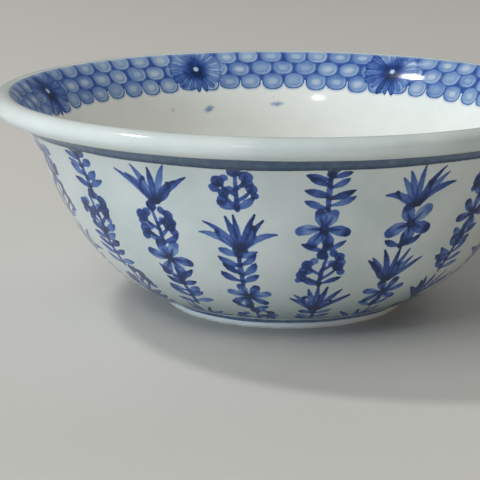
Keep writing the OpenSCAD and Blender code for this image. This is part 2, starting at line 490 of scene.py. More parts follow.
def blossom(work, rng, x, top, tall, wide):
    """An open flower of broad petals, over two leaves."""
    middle = np.array([x + rng.uniform(-1.0, 1.0), top + tall * 0.43])
    petals = rng.choice((5, 6, 7))
    spin = rng.uniform(0, 360)
    for k in range(petals):
        angle = spin + 360 * k / petals + rng.uniform(-8, 8)
        turn = math.radians(angle)
        out = np.array([math.sin(turn), -math.cos(turn)])
        reach = wide / 2 * (0.96 + 0.14 * abs(math.sin(turn))) * rng.uniform(0.9, 1.04)
        tone = rng.uniform(0.52, 0.86)
        full = 25.0 / petals
        work.curve(middle + out * 1.4, angle, reach - 2.6, rng.uniform(-24, 24),
                   [1.2, full * 0.72, full, full * 0.85],
                   [tone * 1.4, tone * 0.9, tone * 0.82, tone * 1.25])
        work.curve(middle + out * 1.6, angle, reach * 0.5, rng.uniform(-10, 10),
                   [0.7, 1.0, 0.4], [0.95, 0.85, 0.6], count=4)
    work.dab(middle, 1.5, 1.0)
    foot = (x + rng.uniform(-0.8, 0.8), top + tall)
    work.curve(foot, rng.uniform(-12, 12), tall * 0.3, 0, [1.8, 1.5], [0.9, 0.8])
    for side in (-1, 1):
        leaf(work, rng, (foot[0], foot[1] - 0.2), side * rng.uniform(62, 80),
             wide * rng.uniform(0.44, 0.54), rng.uniform(2.2, 2.9),
             -side * rng.uniform(5, 45), 0.84)


def berry_sprig(work, rng, x, top, tall, wide):
    """A forked twig with round berries, and leaves at its root."""
    foot = (x + rng.uniform(-0.8, 0.8), top + tall)
    work.curve(foot, 0, tall * 0.86, rng.uniform(-16, 16), [1.8, 1.3], [0.9, 0.75])
    for k, share in enumerate((1.0, 0.84, 0.66, 0.5)):
        side = 1 if k % 2 else -1
        root = (foot[0], foot[1] - tall * (1.1 - share) * 0.8)
        end, _ = work.curve(root, side * rng.uniform(50, 70), wide * rng.uniform(0.40, 0.52),
                            -side * rng.uniform(5, 50), [1.6, 1.1], [0.75, 0.9])
        work.dab(end, rng.uniform(1.6, 2.3), rng.uniform(0.78, 1.0))
        work.dab(end + np.array([side * rng.uniform(0.6, 1.6), 3.0]), rng.uniform(1.2, 1.7),
                 rng.uniform(0.65, 0.9))
        work.dab(end + np.array([-side * 2.6, -1.8]), rng.uniform(1.0, 1.5),
                 rng.uniform(0.6, 0.85))
    work.dab((x + rng.uniform(-1, 1), top + 1.6), 1.9, 0.95)
    for side in (-1, 1):
        leaf(work, rng, (foot[0], foot[1] - rng.uniform(0, 1.5)), side * rng.uniform(62, 84),
             wide * rng.uniform(0.42, 0.52), rng.uniform(2.3, 3.0),
             -side * rng.uniform(5, 45), 0.82)


def grass_tuft(work, rng, x, top, tall, wide):
    """Long blades that fan from one root and arch over."""
    foot = (x + rng.uniform(-1, 1), top + tall)
    for k in range(7):
        share = (k - 3) / 3 + rng.uniform(-0.12, 0.12)
        tone = rng.uniform(0.58, 0.92)
        work.curve((foot[0] + share * 1.2, foot[1]), share * 38, tall * rng.uniform(0.78, 1.06),
                   share * rng.uniform(14, 66), [1.3, 2.3, rng.uniform(2.1, 2.8), 0.8],
                   [tone * 1.15, tone * 0.88, tone, tone * 1.35], count=9)
    for side in (-1, 1):
        tendril(work, rng, (foot[0], foot[1] - 1.0), side, wide * rng.uniform(0.5, 0.7))


SPRIGS = (leafy_sprig, blossom, berry_sprig, grass_tuft)
SPRIG_ROWS = 5  # sprigs one above another in a spray
SPRAY_TOP = 7.2  # mm under the neck at which a spray begins
FOOT_LINE = 1.6  # mm of the foot's outer face that its painted line covers
LIP_LINE = 7.7  # mm of wall under the lip that the painted line covers
HEM = 3.4  # mm of wall above the foot that its painted line fades over
SPRAY_FOOT = 3.0  # mm from the foot's edge at which it ends
SPRAY_WIDE = 17.5  # mm across a spray at the top
SPRAY_TAPER = 0.3  # how a spray narrows towards the foot


def spray(number, length):
    """The brushwork of one upright spray, different for each number."""
    rng = random.Random(7100 + 13 * number)
    work = Brushwork()
    pitch = (length - SPRAY_TOP - SPRAY_FOOT) / SPRIG_ROWS
    sway = rng.uniform(0, 6)
    kinds = [SPRIGS[(number * 3 + k * (1 + number % 3)) % 4] for k in range(SPRIG_ROWS)]
    for k, kind in enumerate(kinds):
        top = SPRAY_TOP + k * pitch
        kind(work, rng, 1.1 * math.sin(sway + 1.9 * k), top + 0.3, pitch * 1.0,
             SPRAY_WIDE * rng.uniform(0.98, 1.12))
    return work


# ---------------------------------------------------------------- painted band

SCALE_ROWS = 3
SCALE_TALL = 7.0  # mm from row to row
BAND_R = 108.0  # mm: the radius at which the band is measured out
SCALES_PER_FLOWER = 9
FLOWER_MIDDLE = 9.6  # mm from the crest to the flower's middle
FLOWER_WIDE, FLOWER_TALL = 14.4, 12.6  # mm from its middle to its petals' tips
PETALS = 18


def soft(value, low, high):
    """0 below low, 1 above high, and a smooth rise between."""
    t = ((value - low) / (high - low)).clip(0, 1)
    return t * t * (3 - 2 * t)


def chance(*keys):
    """A fixed random number between 0 and 1 for each set of whole numbers."""
    total = sum(k * f for k, f in zip(keys, (12.9898, 78.233, 37.719, 53.17)))
    return np.modf(np.abs(np.sin(total + 4.1) * 43758.5453))[0]


def band_painting(angle, down, flowers, first):
    """Cobalt of the band at an angle about the axis and a distance down from the crest:
    mm inside the band's lower edge, and the depth of the cobalt."""
    pitch = 2 * math.pi / (flowers * SCALES_PER_FLOWER)
    turn = (angle - first) % (2 * math.pi)
    tone = np.full(len(angle), 0.74)
    inside = SCALE_ROWS * SCALE_TALL - 4.6 - down
    for row in range(SCALE_ROWS - 1, -1, -1):
        offset = 0.5 * (row % 2)
        cell = np.floor(turn / pitch - offset)
        seed = [chance(cell, row + n) for n in (1.0, 11.0, 23.0, 31.0)]
        u = (turn / pitch - offset - cell - 0.5) * pitch * BAND_R + 0.9 * (seed[0] - 0.5)
        v = down - (row + 0.5) * SCALE_TALL + 0.6 + 0.9 * (seed[1] - 0.5)
        v = v + 0.10 * (seed[3] - 0.5) * u
        half_u, half_v = 5.35 + 0.6 * (seed[2] - 0.5), 4.15 + 0.6 * (seed[0] - 0.5)
        q = (np.abs(u / half_u) ** 2.5 + np.abs(v / half_v) ** 2.3) ** (1 / 2.4)
        depth_in = (1 - q) * half_v
        light = 0.17 + 0.20 * seed[1] ** 2
        middle = (np.abs((u + 0.6 * (seed[3] - 0.5)) / (half_u * 0.72)) ** 2.2
                  + np.abs((v - 0.2) / (half_v * 0.60)) ** 2.2) ** (1 / 2.2)
        body = 0.48 + 0.16 * (seed[2] - 0.5)
        body = body + (light - body) * (1 - soft(middle, 0.20, 1.25))
        ring = soft(middle, 0.50, 0.66) * (1 - soft(middle, 0.66, 0.84))
        body = body + 0.08 * ring * (seed[3] > 0.45)
        crescent = soft(q, 0.62, 0.76) * (1 - soft(q, 0.78, 0.90))
        body = body - 0.20 * crescent * soft((v - 0.8 * u) / 4, -0.2, 0.9)
        body = body + (0.70 - body) * soft(q, 0.80, 0.98)
        over = soft(depth_in, -0.35, 0.45)
        tone = tone + (body - tone) * over
        if row == SCALE_ROWS - 1:
            inside = np.maximum(inside, depth_in)
    # Each flower lies over the scales: narrow petals round a dark eye with a white dot
    which = np.round(turn * flowers / (2 * math.pi))
    x = wrapped(turn - 2 * math.pi / flowers * which) * BAND_R
    y = down - FLOWER_MIDDLE
    round_, far = np.arctan2(y, x), np.hypot(x, y)
    leaf_turn = round_ * PETALS / (2 * math.pi) + 0.3 * chance(which)
    petal = np.floor(leaf_turn)
    across = np.abs(leaf_turn - petal - 0.5) * 2
    seed = chance(petal % PETALS, which % flowers + 3.0)
    edge = (0.90 + 0.13 * seed) / np.hypot(np.cos(round_) / FLOWER_WIDE,
                                           np.sin(round_) / FLOWER_TALL)
    drooping = soft(np.sin(round_), 0.35, 0.75)
    edge = edge * (1 - (0.07 + 0.20 * drooping) * across**2)
    petal_in = edge - far
    streak = np.sin(round_ * 47 + 5 * seed) * soft(far, 3, 7)
    flower = 0.90 - 0.36 * soft(far, 2.4, 9.0) + 0.07 * streak
    flower = flower + (seed - 0.5) * 0.26 * soft(far, 3, 7)
    gap = soft(across, 0.66, 0.98) * soft(far, 4.5, 8.0)
    flower = flower + gap * np.where(seed > 0.55, 0.16, -0.26)
    flower = flower + 0.16 * soft(far, edge - 1.4, edge - 0.3) + 0.10 * drooping
    flower = flower * (1 - (1 - soft(far, 0.95, 1.55)) * 0.97)
    over = soft(petal_in, -0.2, 0.35)
    tone = tone + (flower - tone) * over
    inside = np.maximum(inside, petal_in)
    # The brush runs thin where the band turns over the crest of the lip
    tone = tone * (0.62 + 0.38 * soft(down, 0.2, 2.0))
    return inside, tone.clip(0, 1)


# ---------------------------------------------------------------- materials


def add_node(tree, kind, inputs=(), **settings):
    """A node of a kind with its settings. Its inputs are values or links, given in the
    node's own order or by name."""
    node = tree.nodes.new(kind)
    for key, value in settings.items():
        setattr(node, key, value)
    for key, value in inputs.items() if isinstance(inputs, dict) else enumerate(inputs):
        socket = node.inputs[key]
        if isinstance(value, bpy.types.NodeSocket):
            tree.links.new(value, socket)
        else:
            socket.default_value = value
    return node


def rgba(colour):
    return (*tuple(colour)[:3], 1.0)


def new_material(name):
    material = bpy.data.materials.new(name)
    material.use_nodes = True
    material.node_tree.nodes.clear()
    return material, material.node_tree


def ramp_stops(ramp, stops):
    """Sets a colour ramp's stops from (place, colour) pairs."""
    while len(ramp.elements) > 1:
        ramp.elements.remove(ramp.elements[-1])
    for i, (place, colour) in enumerate(stops):
        stop = ramp.elements[0] if i == 0 else ramp.elements.new(place)
        stop.position, stop.color = place, rgba(colour)


WAVE = 9.0  # mm: slow unevenness left in a hand-thrown, dipped surface
FOOT_TOP = 4.3  # mm above the table, where the wall begins
POOL_SHADE_LOW, POOL_SHADE_HIGH = 5.0, 30.0  # mm above the table, where the glaze thickens and the wall is painted darker: partly pooled glaze, partly painted shade
PEEL = 1.1  # mm: the fine dimple of a feldspar glaze
COBALT = ((0.0, "#E3E6E0"), (0.12, "#C6D2DC"), (0.32, "#93ADCE"), (0.52, "#6383BA"),
          (0.72, "#3B5AA2"), (0.86, "#25407C"), (1.0, "#162A50"))
# The slate's grey-green is partly painted shade of the crease under the lip; the foot line
# shares it
SLATE = ((0.0, "#E3E6E0"), (0.2, "#B3C0C8"), (0.45, "#788A9C"), (0.7, "#4C6079"),
         (1.0, "#33425A"))
NOISE, RANGE = "ShaderNodeTexNoise", "ShaderNodeMapRange"
MATH, MIX = "ShaderNodeMath", "ShaderNodeMix"
SMOOTH = {"interpolation_type": "SMOOTHSTEP"}
GLAZE_NOISE = {  # mm across, detail and roughness of each kind of unevenness in the glaze
    "thick": (34, 3.0, 0.5), "cloud": (5.5, 4.0, 0.6), "wave": (WAVE, 1.5, 0.5),
    "peel": (PEEL, 2.0, 0.5), "shine": (14, 3.0, 0.5)}
BRUSH_NOISE = {  # the same, in the brushwork
    "wobble": (1.3, 3.0, 0.5), "pool": (3.2, 3.0, 0.6), "grain": (0.55, 2.0, 0.5)}


def glazed(name, painting, cobalt=None, wander=0.35, wash=0.0, smear=0.0, inside=False):
    """Fired porcelain glaze: dipped, wet-looking and clear over a white body.

    It gives the eye a sharp, slightly wavy reflection, a faint green-blue where it is
    thick, stray iron specks and pinholes. With cobalt, the painting lies under the gloss,
    with a darker rim where the brush left a bead of pigment and a faint bleed round it.
    """
    material, tree = new_material(name)
    coords = add_node(tree, "ShaderNodeTexCoord").outputs["Object"]
    noise = {}
    for key, (size, detail, rough) in (GLAZE_NOISE | (BRUSH_NOISE if cobalt else {})).items():
        noise[key] = add_node(tree, NOISE, {
            "Vector": coords, "Scale": 1 / (size * MM), "Detail": detail,
            "Roughness": rough}).outputs["Fac"]

    # Thick and thin glaze over a few centimetres, with a little cloudiness inside it
    thick = add_node(tree, RANGE, (noise["thick"], 0.35, 0.68, 0.0, 0.35 if inside else 1.0),
                     **SMOOTH).outputs["Result"]
    # With inside, the ground takes the lighter inside colour: painted light, not a different
    # glaze
    thin_colour = painting.inside_lit_colour if inside else painting.glaze_colour
    thick_colour = painting.glaze_colour if inside else painting.glaze_pool_colour
    ground = add_node(tree, MIX, {"Factor": thick, 6: rgba(thin_colour),
                                  7: rgba(thick_colour)}, data_type="RGBA").outputs[2]
    cloud = add_node(tree, RANGE, (noise["cloud"], 0.3, 0.75, 0.0, 0.16),
                     **SMOOTH).outputs["Result"]
    ground = add_node(tree, MIX, {"Factor": cloud, 6: ground, 7: rgba(linear("#E4E9E3"))},
                      data_type="RGBA").outputs[2]
    if not inside:
        # Glaze runs down the wall as it melts and lies thick and greener over the foot; the
        # darker green towards the foot is partly that pooling and partly painted shade of the
        # wall's underside
        height = add_node(tree, "ShaderNodeSeparateXYZ", (coords,)).outputs["Z"]
        low = add_node(tree, RANGE, (height, POOL_SHADE_LOW * MM, POOL_SHADE_HIGH * MM, 0.85, 0.0),
                       **SMOOTH).outputs["Result"]
        above_foot = add_node(tree, RANGE, (height, FOOT_TOP * MM, (FOOT_TOP + 0.2) * MM,
                                            0.0, 1.0), **SMOOTH).outputs["Result"]
        run = add_node(tree, MATH, (low, above_foot), operation="MULTIPLY").outputs["Value"]
        ground = add_node(tree, MIX, {"Factor": run, 6: ground, 7: rgba(linear("#A3B2AC"))},
                          data_type="RGBA").outputs[2]
    # Iron specks: one cell in about forty shows a dot a third of a millimetre across
    specks = add_node(tree, "ShaderNodeTexVoronoi",
                      {"Vector": coords, "Scale": 1 / (6.0 * MM)}, feature="F1")
    dot = add_node(tree, RANGE, (specks.outputs["Distance"], 0.025, 0.06, 1.0, 0.0),
                   **SMOOTH).outputs["Result"]
    chosen = add_node(tree, "ShaderNodeSeparateColor", (specks.outputs["Color"],))
    rare = add_node(tree, RANGE, (chosen.outputs["Red"], 0.955, 0.975, 0.0, 0.75),
                    **SMOOTH).outputs["Result"]
    dot = add_node(tree, MATH, (dot, rare), operation="MULTIPLY").outputs["Value"]
    colour = add_node(tree, MIX, {"Factor": dot, 6: ground, 7: rgba(linear("#6B6152"))},
                      data_type="RGBA").outputs[2]
    if cobalt:
        stroke = add_node(tree, "ShaderNodeAttribute", attribute_name="stroke").outputs["Fac"]
        tone = add_node(tree, "ShaderNodeAttribute", attribute_name="tone").outputs["Fac"]
        # The stroke's edge wanders a little, from the tooth of the raw glaze
        wobble = add_node(tree, MATH, (noise["wobble"], 0.5), operation="SUBTRACT")
        wobble = add_node(tree, MATH, (wobble.outputs["Value"], wander * 2),
                          operation="MULTIPLY").outputs["Value"]
        edge = add_node(tree, MATH, (stroke, wobble), operation="ADD").outputs["Value"]
        cover = add_node(tree, RANGE, (edge, -0.10 - smear, 0.24 + smear, 0.0, 1.0),
                         **SMOOTH).outputs["Result"]
        rim = add_node(tree, RANGE, (edge, 0.12, 0.62, 0.11, 0.0), **SMOOTH).outputs["Result"]
        # Pigment pools and grains within the stroke
        pool = add_node(tree, MATH, (noise["pool"], 0.5, 0.75),
                        operation="MULTIPLY_ADD").outputs["Value"]
        grain = add_node(tree, MATH, (noise["grain"], 0.22, 0.89),
                         operation="MULTIPLY_ADD").outputs["Value"]
        depth = tone
        for how, by in (("MULTIPLY", pool), ("MULTIPLY", grain), ("ADD", rim),
                        ("MULTIPLY", cover)):
            depth = add_node(tree, MATH, (depth, by), operation=how).outputs["Value"]
        bleed = add_node(tree, RANGE, (edge, -1.5, 0.0, 0.0, 0.07 + wash),
                         **SMOOTH).outputs["Result"]
        depth = add_node(tree, MATH, (depth, bleed), operation="MAXIMUM").outputs["Value"]
        ramp = add_node(tree, "ShaderNodeValToRGB", (depth,))
        ramp_stops(ramp.color_ramp, [(p, linear(c)) for p, c in cobalt])
        laid = add_node(tree, RANGE, (depth, 0.0, 0.14, 0.0, 1.0), **SMOOTH).outputs["Result"]
        # Cobalt only ever darkens the glaze that it lies in
        colour = add_node(tree, MIX, {"Factor": laid, 6: colour, 7: ramp.outputs["Color"]},
                          data_type="RGBA", blend_type="DARKEN").outputs[2]
    # Slow waves of the thrown wall, the fine dimple of the glaze, and a pit at each speck
    wave = add_node(tree, "ShaderNodeBump", {"Height": noise["wave"], "Strength": 0.10,
                                             "Distance": 0.5 * MM})
    peel = add_node(tree, "ShaderNodeBump", {"Height": noise["peel"], "Strength": 0.035,
                                             "Distance": 0.05 * MM,
                                             "Normal": wave.outputs["Normal"]})
    pit = add_node(tree, "ShaderNodeBump", {"Height": dot, "Strength": 0.3,
                                            "Distance": 0.05 * MM,
                                            "Normal": peel.outputs["Normal"]}, invert=True)
    shine = add_node(tree, RANGE, (noise["shine"], 0.3, 0.7, 0.07, 0.13),
                     **SMOOTH).outputs["Result"]
    shader = add_node(tree, "ShaderNodeBsdfPrincipled",
                      {"Base Color": colour, "Roughness": shine, "IOR": 1.5,
                       "Normal": pit.outputs["Normal"]})
    add_node(tree, "ShaderNodeOutputMaterial", {"Surface": shader.outputs["BSDF"]})
    return material


def biscuit(painting):
    """Bare porcelain clay: turned on the wheel and fired without glaze.

    It gives the eye a dry, chalky white with fine turning rings, a warm flash and the
    grey of handling where it stands.
    """
    material, tree = new_material("Biscuit porcelain, turned and bare")
    coords = add_node(tree, "ShaderNodeTexCoord").outputs["Object"]
    flat = add_node(tree, "ShaderNodeSeparateXYZ", {"Vector": coords})
    blotch = add_node(tree, "ShaderNodeTexNoise",
                      {"Vector": coords, "Scale": 1 / (7 * MM), "Detail": 4.0})
    grit = add_node(tree, "ShaderNodeTexNoise",
                    {"Vector": coords, "Scale": 1 / (0.5 * MM), "Detail": 3.0})
    # Turning rings 1.6 mm apart, round the axis: a wave repeats every pi / 10 of its scale
    rings = add_node(tree, "ShaderNodeTexWave",
                     {"Vector": coords, "Scale": 2 / (10 * MM), "Distortion": 1.2,
                      "Detail": 2.0}, wave_type="RINGS", rings_direction="Z")
    colour = add_node(tree, "ShaderNodeValToRGB", {"Fac": blotch.outputs["Fac"]})
    ramp_stops(colour.color_ramp, [(0.3, linear("#D3CBBB")), (0.55, tuple(painting.clay_colour)),
                                   (0.8, linear("#EFEDE6"))])
    worn = add_node(tree, "ShaderNodeMapRange",
                    {"Value": flat.outputs["Z"], "From Min": 0.0, "From Max": 1.0 * MM,
                     "To Min": 0.35, "To Max": 0.0})
    stain = add_node(tree, "ShaderNodeMath",
                     {0: worn.outputs["Result"], 1: grit.outputs["Fac"]},
                     operation="MULTIPLY")
    colour = add_node(tree, "ShaderNodeMix",
                      {"Factor": stain.outputs["Value"], 6: colour.outputs["Color"],
                       7: rgba(linear("#8F887A"))}, data_type="RGBA").outputs[2]
    bump = add_node(tree, "ShaderNodeBump",
                    {"Height": rings.outputs["Fac"], "Strength": 0.25, "Distance": 0.08 * MM})
    bump = add_node(tree, "ShaderNodeBump",
                    {"Height": grit.outputs["Fac"], "Strength": 0.4, "Distance": 0.06 * MM,
                     "Normal": bump.outputs["Normal"]})
    shader = add_node(tree, "ShaderNodeBsdfPrincipled",
                      {"Base Color": colour, "Roughness": 0.72, "IOR": 1.5,
                       "Normal": bump.outputs["Normal"]})
    add_node(tree, "ShaderNodeOutputMaterial", {"Surface": shader.outputs["BSDF"]})
    return material


def finish(key, make):
    """A finish that several pieces share, made when it is first asked for."""
    for material in bpy.data.materials:
        if material.get("bowl_finish") == key:
            return material
    material = make()
    material["bowl_finish"] = key
    return material


# ---------------------------------------------------------------- operators


class BOWL_OT_clay(bpy.types.Operator):
    """Gives the thrown wall, the lip and the foot their bare clay finish"""

    bl_idname = "bowl.clay"
    bl_label = "Clay body"

    def execute(self, context):
        painting = context.scene.bowl_painting
        clay = finish("biscuit", lambda: biscuit(painting))
        for node in ("body_wall", "rolled_lip"):
            for material_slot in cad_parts[node].material_slots:
                material_slot.material = clay
        s = BowlSection(context.scene.bowl_size)
        outer, inner = s.foot_r - s.size["glaze"], s.foot_r - s.size["foot_width"]
        top, roof = s.size["foot_height"] + 0.25, s.size["well"] + s.size["glaze"]
        # The standing edge is rounded by a damp sponge before firing
        round_r = 1.0
        quarter = np.radians(np.linspace(0, 90, 8))
        inside = [[inner + round_r * (1 - math.cos(a)), round_r * (1 - math.sin(a))]
                  for a in quarter]
        outside = [[outer - round_r * (1 - math.sin(a)), round_r * (1 - math.cos(a))]
                   for a in quarter]
        front = even(np.array([[inner, roof - 0.1]] + inside + outside + [[outer, top]]), 0.35)
        middle = (outer + inner) / 2
        back = np.array([[inner + 0.4, roof - 0.1], [middle, roof - 0.3], [outer - 0.4, top]])
        mesh = turned("foot_ring_clay", front, back, 0.0, columns=320)
        placed("foot_ring_clay", mesh, clay, "biscuit", "foot_ring")
        return {"FINISHED"}


class BOWL_OT_outside(bpy.types.Operator):
    """Turns the glazed outer wall in panels, each with one painted spray"""

    bl_idname = "bowl.outside"
    bl_label = "Painted outside"

    def execute(self, context):
        scene = context.scene
        painting = scene.bowl_painting
        s = BowlSection(scene.bowl_size)
        total = lengths(s.outside)[-1]
        split = total - LINE_RING
        count = painting.sprays
        pitch = 2 * math.pi / count
        blue = finish("cobalt outside", lambda: glazed(
            "Cobalt brushwork under clear glaze", painting, COBALT))
        slate = finish("cobalt line", lambda: glazed(
            "Cobalt line under clear glaze", painting, SLATE, wander=0.25))
        works = [spray(k, total) for k in range(count)]
        places_ = [painting.spray_bearing - math.pi / 2 + k * pitch for k in range(count)]
        front = even(cut(s.outside, 0, split), 0.46)
        back = self.back_of(s, 0, split, 12)
        panel = turned("panel", front, back, 0.0, 0.0, pitch, 80)
        for k in range(count):
            name = f"spray_panel_{k + 1:02d}"
            start = places_[k] - pitch / 2
            mesh = turned_round(panel, name, start)
            self.paint_wall(mesh, s, works, places_, total)
            unrolled_map(mesh, start, pitch)
            placed(name, mesh, blue, "clear_glaze", "leaf_sprays", "plain_panels",
                   "outer_glaze")
        front = even(cut(s.outside, split, total), 0.42)
        back = self.back_of(s, split, total, 4)
        mesh = turned("lip_line_ring", front, back, split, columns=1440)
        self.paint_wall(mesh, s, works, places_, total)
        unrolled_map(mesh, 0.0, 2 * math.pi, folds=12)
        placed("lip_line_ring", mesh, slate, "cobalt_line", "lip_line")
        return {"FINISHED"}

    def back_of(self, s, start, end, count):
        """The hidden back of a stretch of the outer glaze, in count points."""
        path = s.outside + s.size["glaze"] * leftward(s.outside)
        path = cut(path, start, end)
        run = lengths(path)
        stops = np.linspace(0, run[-1], count)
        return np.stack([np.interp(stops, run, path[:, k]) for k in (0, 1)], 1)

    def paint_wall(self, mesh, s, works, places_, total):
        """Paints the sprays, the line under the lip and the hem above the foot."""
        along = numbers(mesh, "along").astype(float)
        co, angle = places(mesh)
        radius = np.hypot(co[:, 0], co[:, 1])
        widest = s.outside[:, 0].max()
        stroke = np.full(len(along), -3.0)
        tone = np.zeros(len(along))
        for work, place in zip(works, places_):
            turn = wrapped(angle - place)
            near = np.abs(turn) < 1.05 * math.pi / len(works)
            if not near.any():
                continue
            x = turn[near] * radius[near] / (radius[near] / widest) ** SPRAY_TAPER
            one_stroke, one_tone = work.laid(x, total - along[near])
            stroke[near] = np.maximum(stroke[near], one_stroke)
            tone[near] = np.maximum(tone[near], one_tone)
        # The line under the lip is one slow turn of the wheel against a full brush: it is thin
        # over most of its width and darkest along its lower edge. Its depth is partly painted
        # shade of the crease under the lip
        wander = 0.22 * np.sin(5 * angle + 1) + 0.12 * np.sin(13 * angle + 2)
        line = along - (total - LIP_LINE + wander)
        depth = 0.62 + 0.06 * np.sin(3 * angle) + 0.24 * (1 - soft(line, 0.5, 2.2))
        tone = np.where(line > stroke, depth, tone)
        stroke = np.maximum(stroke, line)
        # The line round the foot was brushed wide, and fades up on to the wall as a wash
        hem = HEM + 0.3 * np.sin(4 * angle) + 0.15 * np.sin(11 * angle + 1) - along
        tone = np.where(hem > stroke, 0.5 * soft(hem, 0.0, HEM), tone)
        stroke = np.maximum(stroke, hem)
        paint(mesh, stroke, tone)


class BOWL_OT_lip(bpy.types.Operator):
    """Turns the plain glaze on the rolled lip"""

    bl_idname = "bowl.lip"
    bl_label = "Lip glaze"

    def execute(self, context):
        s = BowlSection(context.scene.bowl_size)
        clear = finish("clear", lambda: glazed(
            "Clear feldspar glaze", context.scene.bowl_painting))
        path = s.lip(np.linspace(NECK_ANGLE, CREST_ANGLE, 400))
        front = even(path, 0.4)
        back = even(path + s.size["glaze"] * leftward(path), 1.6, ends=False)
        mesh = turned("lip_glaze_ring", front, back, 0.0, columns=720)
        unrolled_map(mesh, 0.0, 2 * math.pi, folds=8)
        placed("lip_glaze_ring", mesh, clear, "clear_glaze", "lip_glaze")
        return {"FINISHED"}


class BOWL_OT_band(bpy.types.Operator):
    """Turns the painted band inside the rim: runs of scales between the flowers"""

    bl_idname = "bowl.band"
    bl_label = "Scale band and flowers"

    def execute(self, context):
        painting = context.scene.bowl_painting
        s = BowlSection(context.scene.bowl_size)
        wash = finish("cobalt wash", lambda: glazed(
            "Cobalt wash under clear glaze", painting, COBALT, wander=0.25, wash=0.05,
            inside=True))
        count, wide = painting.flowers, painting.flower_width
        first = math.pi / 2 - painting.flower_bearing
        pitch = 2 * math.pi / count
        skin = cut(s.inside, 0, BAND_SKIN)
        front = even(skin, 0.36)
        back = even(skin + s.size["glaze"] * leftward(skin), 2.5, ends=False)
        for kind, away, turn, columns, slot, node in (
            ("flower", -wide / 2, wide, 84, "cobalt_blue", "flower_medallions"),
            ("scale_run", wide / 2, pitch - wide, 196, "cobalt_wash", "scale_band"),
        ):
            skin_piece = turned(kind, front, back, 0.0, 0.0, turn, columns)
            for k in range(count):
                name = f"{kind}_{k + 1:02d}"
                start = first + k * pitch + away
                mesh = turned_round(skin_piece, name, start)
                _, angle = places(mesh)
                down = numbers(mesh, "along").astype(float)
                paint(mesh, *band_painting(angle, down, count, first))
                unrolled_map(mesh, start, turn)
                placed(name, mesh, wash, slot, node)
        return {"FINISHED"}


STRAYS = (  # bearing from the back, mm down from the crest, length, width, slope, depth
    (-22.0, 29.6, 3.4, 2.2, 0.35, 0.42),
    (-22.8, 30.6, 2.0, 1.4, -0.6, 0.34),
    (-2.6, 28.2, 5.4, 1.7, 0.05, 0.38),
    (-33.0, 29.0, 1.4, 1.0, 0.0, 0.24),
    (61.0, 33.0, 2.2, 1.2, 0.4, 0.3),
    (148.0, 31.0, 3.6, 1.5, 0.1, 0.34),
    (-118.0, 34.0, 1.6, 1.2, 0.2, 0.3),
)


class BOWL_OT_inside(bpy.types.Operator):
    """Turns the white glaze inside, with a few stray touches of cobalt"""

    bl_idname = "bowl.inside"
    bl_label = "Inside glaze"

    def execute(self, context):
        painting = context.scene.bowl_painting
        s = BowlSection(context.scene.bowl_size)
        stray = finish("cobalt stray", lambda: glazed(
            "Clear glaze with stray cobalt", painting, COBALT, wander=0.9, smear=0.5,
            inside=True))
        end = lengths(s.inside)[-1]
        skin = cut(s.inside, BAND_SKIN, end)
        front = even(skin, 0.85)
        front = np.delete(front, -2, 0)
        back = skin + s.size["glaze"] * leftward(skin)
        back[-1] = (0, skin[-1, 1] - s.size["glaze"])
        back = even(back, 4.0, ends=False)
        mesh = turned("inside_glaze", front, back, BAND_SKIN, columns=540)
        co, angle = places(mesh)
        down = numbers(mesh, "along").astype(float)
        radius = np.hypot(co[:, 0], co[:, 1])
        stroke, tone = np.full(len(down), -3.0), np.zeros(len(down))
        for bearing, depth, length, width, slope, dark in STRAYS:
            turn = wrapped(math.pi / 2 - math.radians(bearing) - angle)
            near = (np.abs(turn) < 0.15) & (np.abs(down - depth) < 8)
            work = Brushwork()
            half = length / 2
            work.stroke([(-half, slope * half), (0, 0.2), (half, -slope * half)],
                        [width * 0.5, width, width * 0.4], [dark * 0.7, dark, dark * 0.6])
            one, depth_of = work.laid(turn[near] * radius[near], down[near] - depth)
            stroke[near] = np.maximum(stroke[near], one)
            tone[near] = np.maximum(tone[near], depth_of)
        paint(mesh, stroke, tone)
        flat_map(mesh)
        placed("inside_glaze", mesh, stray, "clear_glaze", "inner_glaze")
        return {"FINISHED"}


